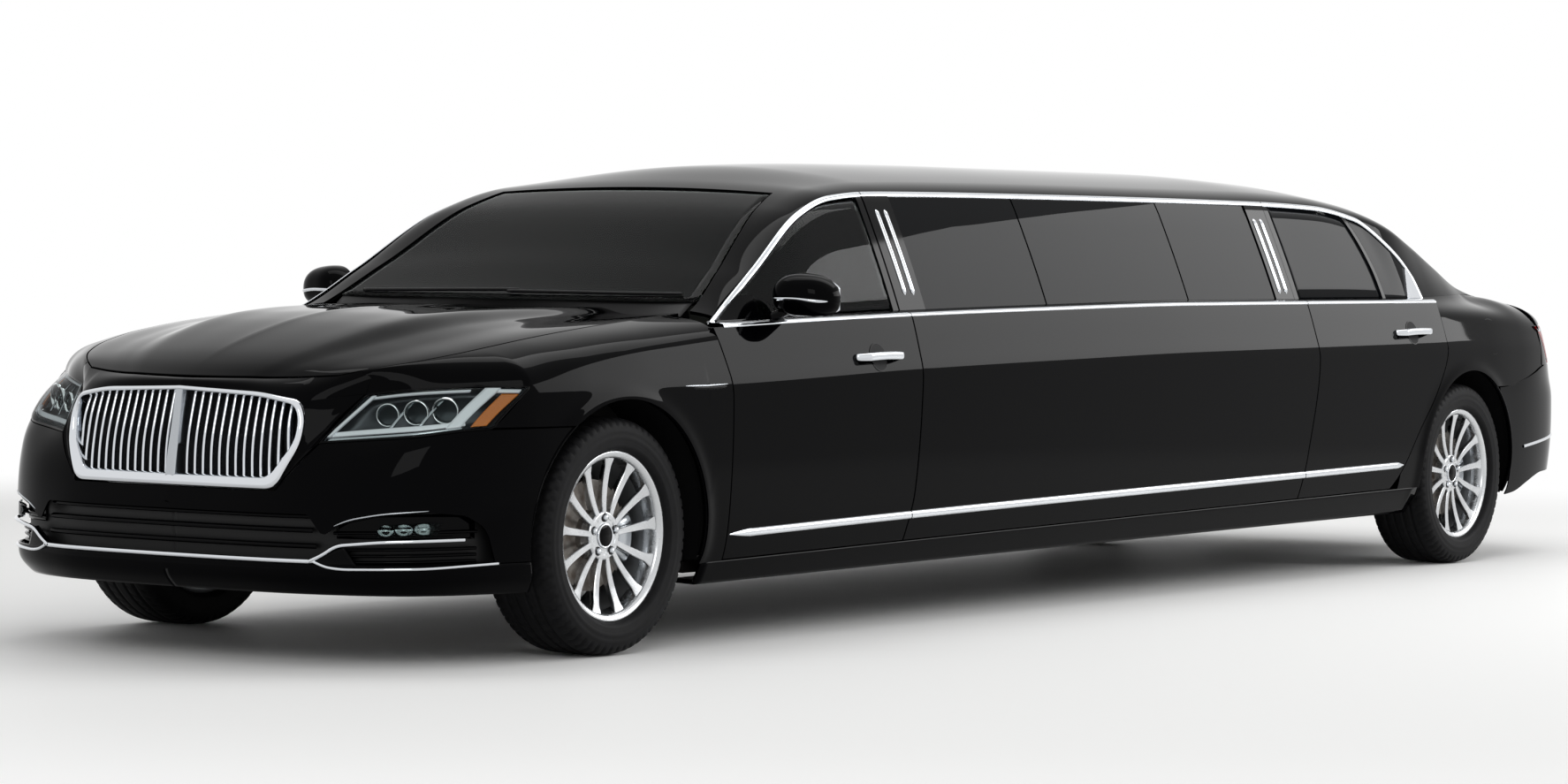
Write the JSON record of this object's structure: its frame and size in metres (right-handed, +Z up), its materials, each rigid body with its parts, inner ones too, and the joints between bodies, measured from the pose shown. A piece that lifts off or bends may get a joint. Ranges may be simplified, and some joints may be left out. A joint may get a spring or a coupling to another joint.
{
  "type": "stretch limousine",
  "caption": "Long-wheelbase luxury saloon limousine with opening doors, bonnet and boot lid, steered front wheels and free-turning wheels.",
  "frame": {"origin": "on the ground under the middle of the car's length and width", "axes": "front towards -Y, left side towards +X, +Z up"},
  "size_m": [2.15, 7.6502, 1.4998],
  "materials": {
    "black_paint": "gloss",
    "dark_glass": "gloss",
    "clear_glass": "gloss",
    "chrome": "polished",
    "lamp": "clear",
    "red_lamp": "gloss",
    "rubber": "matte",
    "alloy": "machined",
    "iron": "cast",
    "steel": "satin",
    "underbody": "matte",
    "leather": "grained",
    "trim": "grained"
  },
  "bodies": {
    "chassis": {"floor_pan": "underbody", "sills": "black_paint", "front_wings": "black_paint", "centre_panels": "black_paint", "rear_quarters": "black_paint", "roof": "black_paint", "front_bumper": "black_paint", "rear_bumper": "black_paint", "grille": "chrome", "windscreen": "clear_glass", "rear_window": "dark_glass", "side_windows": "dark_glass", "headlamps": "lamp", "tail_lamps": "red_lamp", "cowl": "underbody", "front_subframe": "steel", "rear_axle": "iron", "engine": "iron", "exhaust": "steel", "dashboard": "trim", "front_seats": "leather", "cabin_seats": "leather", "partition": "trim"},
    "bonnet": {"bonnet": "black_paint"},
    "boot_lid": {"boot_lid": "black_paint"},
    "steering_wheel": {"steering_wheel": "trim"},
    "door_front_left": {"door_front_left": "black_paint", "glass_front_left": "clear_glass", "mirror_left": "black_paint"},
    "door_rear_left": {"door_rear_left": "black_paint", "glass_rear_left": "dark_glass"},
    "knuckle_front_left": {"knuckle_front_left": "iron"},
    "wheel_front_left": {"wheel_front_left": "alloy", "tyre_front_left": "rubber"},
    "wheel_rear_left": {"wheel_rear_left": "alloy", "tyre_rear_left": "rubber"},
    "door_front_right": {"door_front_right": "black_paint", "glass_front_right": "clear_glass", "mirror_right": "black_paint"},
    "door_rear_right": {"door_rear_right": "black_paint", "glass_rear_right": "dark_glass"},
    "knuckle_front_right": {"knuckle_front_right": "iron"},
    "wheel_front_right": {"wheel_front_right": "alloy", "tyre_front_right": "rubber"},
    "wheel_rear_right": {"wheel_rear_right": "alloy", "tyre_rear_right": "rubber"}
  },
  "joints": [
    {"name": "door_front_left_hinge", "type": "hinge", "parent": "chassis", "child": "door_front_left", "pos_m": [0.957, -2.371, 0.6], "axis": [0, 0, -1], "range_deg": [0, 68]},
    {"name": "door_rear_left_hinge", "type": "hinge", "parent": "chassis", "child": "door_rear_left", "pos_m": [0.957, 1.278, 0.6], "axis": [0, 0, -1], "range_deg": [0, 68]},
    {"name": "steer_left", "type": "hinge", "parent": "chassis", "child": "knuckle_front_left", "pos_m": [0.724, -2.875, 0.352], "axis": [0, 0, 1], "range_deg": [-33, 33]},
    {"name": "wheel_front_left_spin", "type": "hinge", "parent": "knuckle_front_left", "child": "wheel_front_left", "pos_m": [0.8005, -2.875, 0.352], "axis": [1, 0, 0], "continuous": true},
    {"name": "wheel_rear_left_spin", "type": "hinge", "parent": "chassis", "child": "wheel_rear_left", "pos_m": [0.8005, 2.637, 0.352], "axis": [1, 0, 0], "continuous": true},
    {"name": "door_front_right_hinge", "type": "hinge", "parent": "chassis", "child": "door_front_right", "pos_m": [-0.957, -2.371, 0.6], "axis": [0, 0, 1], "range_deg": [0, 68]},
    {"name": "door_rear_right_hinge", "type": "hinge", "parent": "chassis", "child": "door_rear_right", "pos_m": [-0.957, 1.278, 0.6], "axis": [0, 0, 1], "range_deg": [0, 68]},
    {"name": "steer_right", "type": "hinge", "parent": "chassis", "child": "knuckle_front_right", "pos_m": [-0.724, -2.875, 0.352], "axis": [0, 0, 1], "range_deg": [-33, 33]},
    {"name": "wheel_front_right_spin", "type": "hinge", "parent": "knuckle_front_right", "child": "wheel_front_right", "pos_m": [-0.8005, -2.875, 0.352], "axis": [1, 0, 0], "continuous": true},
    {"name": "wheel_rear_right_spin", "type": "hinge", "parent": "chassis", "child": "wheel_rear_right", "pos_m": [-0.8005, 2.637, 0.352], "axis": [1, 0, 0], "continuous": true},
    {"name": "bonnet_hinge", "type": "hinge", "parent": "chassis", "child": "bonnet", "pos_m": [0, -2.261, 1.019], "axis": [-1, 0, 0], "range_deg": [0, 50]},
    {"name": "boot_lid_hinge", "type": "hinge", "parent": "chassis", "child": "boot_lid", "pos_m": [0, 3.245, 1.072], "axis": [1, 0, 0], "range_deg": [0, 70]},
    {"name": "steering_wheel_turn", "type": "hinge", "parent": "chassis", "child": "steering_wheel", "pos_m": [0.36, -1.755, 0.905], "axis": [0, 0.9135, 0.4067], "range_deg": [-500, 500]}
  ],
  "couplings": [
    {"joint": "steer_right", "follows": "steer_left", "ratio": 1}
  ]
}
